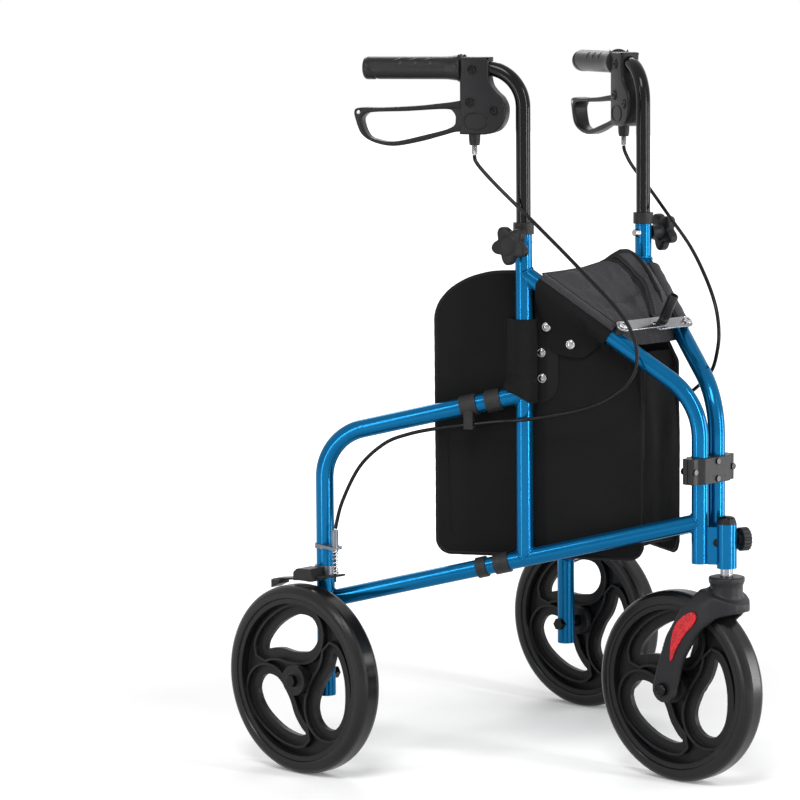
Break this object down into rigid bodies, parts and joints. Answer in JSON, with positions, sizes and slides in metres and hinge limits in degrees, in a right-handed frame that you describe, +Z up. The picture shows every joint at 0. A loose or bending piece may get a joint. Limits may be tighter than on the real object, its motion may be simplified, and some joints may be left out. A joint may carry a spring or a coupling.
{
  "type": "three wheel rollator",
  "caption": "Folding walking aid on wheels: splayed tube frames hinged at the front, a swivelling front fork, hand brakes on the rear wheels, height-adjustable grips and a zipped bag.",
  "frame": {"origin": "on the floor, under the middle of the part's box", "axes": "+X ahead, +Y to the left, +Z up"},
  "size_m": [0.6552, 0.626, 0.943],
  "materials": {
    "black_plastic": "satin",
    "black_paint": "glossy",
    "bag_cloth": "coated cloth",
    "lid_mesh": "mesh cloth",
    "blue_paint": "glossy metallic",
    "bright_steel": "polished",
    "zinc": "bright zinc",
    "cable_sheath": "satin",
    "grip_rubber": "matt",
    "rim_plastic": "satin",
    "tyre_rubber": "matt",
    "steel": "satin",
    "reflector_red": "glossy"
  },
  "bodies": {
    "hinge": {"hinge_front": "black_plastic", "hinge_rear": "black_plastic", "hinge_screws": "black_paint", "bag_body": "bag_cloth", "bag_lid": "lid_mesh"},
    "right_frame": {"right_upright": "blue_paint", "right_front_tube": "blue_paint", "right_rear_tube": "blue_paint", "right_lower_bar": "blue_paint", "right_collar": "black_plastic", "right_clamp_bolt": "bright_steel", "right_tube_clips": "black_plastic", "right_brake_bracket": "zinc", "right_axle": "black_paint", "right_brake_cable": "cable_sheath", "right_brake_spring": "bright_steel", "bag_side_right": "bag_cloth", "head_tube": "blue_paint", "head_bushes": "black_plastic"},
    "left_frame": {"left_upright": "blue_paint", "left_front_tube": "blue_paint", "left_rear_tube": "blue_paint", "left_lower_bar": "blue_paint", "left_collar": "black_plastic", "left_clamp_bolt": "bright_steel", "left_tube_clips": "black_plastic", "left_brake_bracket": "zinc", "left_axle": "black_paint", "left_brake_cable": "cable_sheath", "left_brake_spring": "bright_steel", "bag_side_left": "bag_cloth"},
    "right_handle": {"right_handle_tube": "black_paint", "right_grip": "grip_rubber", "right_brake_housing": "black_plastic", "right_lever_fittings": "black_paint"},
    "right_lever": {"right_lever": "black_paint"},
    "right_knob": {"right_clamp_knob": "black_plastic"},
    "right_brake": {"right_brake_arm": "black_paint"},
    "right_wheel": {"right_rim": "rim_plastic", "right_tyre": "tyre_rubber", "right_bearings": "steel"},
    "right_link": {"right_lock_link": "bright_steel"},
    "left_handle": {"left_handle_tube": "black_paint", "left_grip": "grip_rubber", "left_brake_housing": "black_plastic", "left_lever_fittings": "black_paint"},
    "left_lever": {"left_lever": "black_paint"},
    "left_knob": {"left_clamp_knob": "black_plastic"},
    "left_brake": {"left_brake_arm": "black_paint"},
    "left_wheel": {"left_rim": "rim_plastic", "left_tyre": "tyre_rubber", "left_bearings": "steel"},
    "left_link": {"left_lock_link": "bright_steel"},
    "fork": {"fork": "black_plastic", "fork_bolts": "bright_steel", "reflectors": "reflector_red"},
    "front_wheel": {"front_rim": "rim_plastic", "front_tyre": "tyre_rubber", "front_bearings": "steel"},
    "swivel_lock": {"swivel_knob": "black_plastic"}
  },
  "joints": [
    {"name": "fold_right", "type": "hinge", "parent": "hinge", "child": "right_frame", "pos_m": [0.24763, -0.017, 0], "axis": [0, 0, -1], "range_deg": [0, 23], "deforming": ["bag_body", "bag_lid"]},
    {"name": "fold_left", "type": "hinge", "parent": "hinge", "child": "left_frame", "pos_m": [0.24763, 0.017, 0], "axis": [0, 0, 1], "range_deg": [0, 23], "deforming": ["bag_body", "bag_lid"]},
    {"name": "right_link_swing", "type": "hinge", "parent": "right_frame", "child": "right_link", "pos_m": [0.15858, -0.06732, 0.59289], "axis": [0.6135, 0, 0.7897], "range_deg": [0, 74.09]},
    {"name": "left_link_swing", "type": "hinge", "parent": "left_frame", "child": "left_link", "pos_m": [0.15674, 0.06732, 0.59052], "axis": [-0.6135, 0, -0.7897], "range_deg": [0, 92.52]},
    {"name": "swivel", "type": "hinge", "parent": "right_frame", "child": "fork", "pos_m": [0.27763, 0, 0.3], "axis": [0, 0, 1], "continuous": true},
    {"name": "front_spin", "type": "hinge", "parent": "fork", "child": "front_wheel", "pos_m": [0.20263, 0, 0.125], "axis": [0, 1, 0], "continuous": true},
    {"name": "swivel_lock_turn", "type": "hinge", "parent": "right_frame", "child": "swivel_lock", "pos_m": [0.27763, 0, 0.323], "axis": [0.4226, 0.9063, 0], "continuous": true},
    {"name": "right_spin", "type": "hinge", "parent": "right_frame", "child": "right_wheel", "pos_m": [-0.20263, -0.28646, 0.125], "axis": [0, 1, 0], "continuous": true},
    {"name": "right_height", "type": "slide", "parent": "right_frame", "child": "right_handle", "axis": [0, 0, 1], "range_m": [0, 0.075], "deforming": ["right_brake_cable"]},
    {"name": "right_squeeze", "type": "hinge", "parent": "right_handle", "child": "right_lever", "pos_m": [0.00912, -0.13696, 0.8707], "axis": [-0.4493, 0.8934, 0], "range_deg": [0, 10], "stiffness_Nm_per_rad": 8},
    {"name": "right_brake_press", "type": "hinge", "parent": "right_frame", "child": "right_brake", "pos_m": [-0.20263, -0.24346, 0.263], "axis": [0, -1, 0], "range_deg": [0, 3], "deforming": ["right_brake_spring"]},
    {"name": "right_knob_turn", "type": "hinge", "parent": "right_frame", "child": "right_knob", "pos_m": [0.04037, -0.12124, 0.7], "axis": [0.2028, -0.9792, 0], "continuous": true},
    {"name": "left_spin", "type": "hinge", "parent": "left_frame", "child": "left_wheel", "pos_m": [-0.20263, 0.28646, 0.125], "axis": [0, 1, 0], "continuous": true},
    {"name": "left_height", "type": "slide", "parent": "left_frame", "child": "left_handle", "axis": [0, 0, 1], "range_m": [0, 0.075], "deforming": ["left_brake_cable"]},
    {"name": "left_squeeze", "type": "hinge", "parent": "left_handle", "child": "left_lever", "pos_m": [0.00912, 0.13696, 0.8707], "axis": [0.4493, 0.8934, 0], "range_deg": [0, 10], "stiffness_Nm_per_rad": 8},
    {"name": "left_brake_press", "type": "hinge", "parent": "left_frame", "child": "left_brake", "pos_m": [-0.20263, 0.24346, 0.263], "axis": [0, -1, 0], "range_deg": [0, 3], "deforming": ["left_brake_spring"]},
    {"name": "left_knob_turn", "type": "hinge", "parent": "left_frame", "child": "left_knob", "pos_m": [0.04037, 0.12124, 0.7], "axis": [0.2028, 0.9792, 0], "continuous": true}
  ],
  "couplings": [
    {"joint": "fold_left", "follows": "fold_right", "ratio": 1},
    {"joint": "right_link_swing", "follows": "fold_right", "ratio": 3.2189},
    {"joint": "left_link_swing", "follows": "fold_right", "ratio": 4.0205},
    {"joint": "right_brake_press", "follows": "right_squeeze", "ratio": 0.3},
    {"joint": "left_brake_press", "follows": "left_squeeze", "ratio": 0.3}
  ]
}
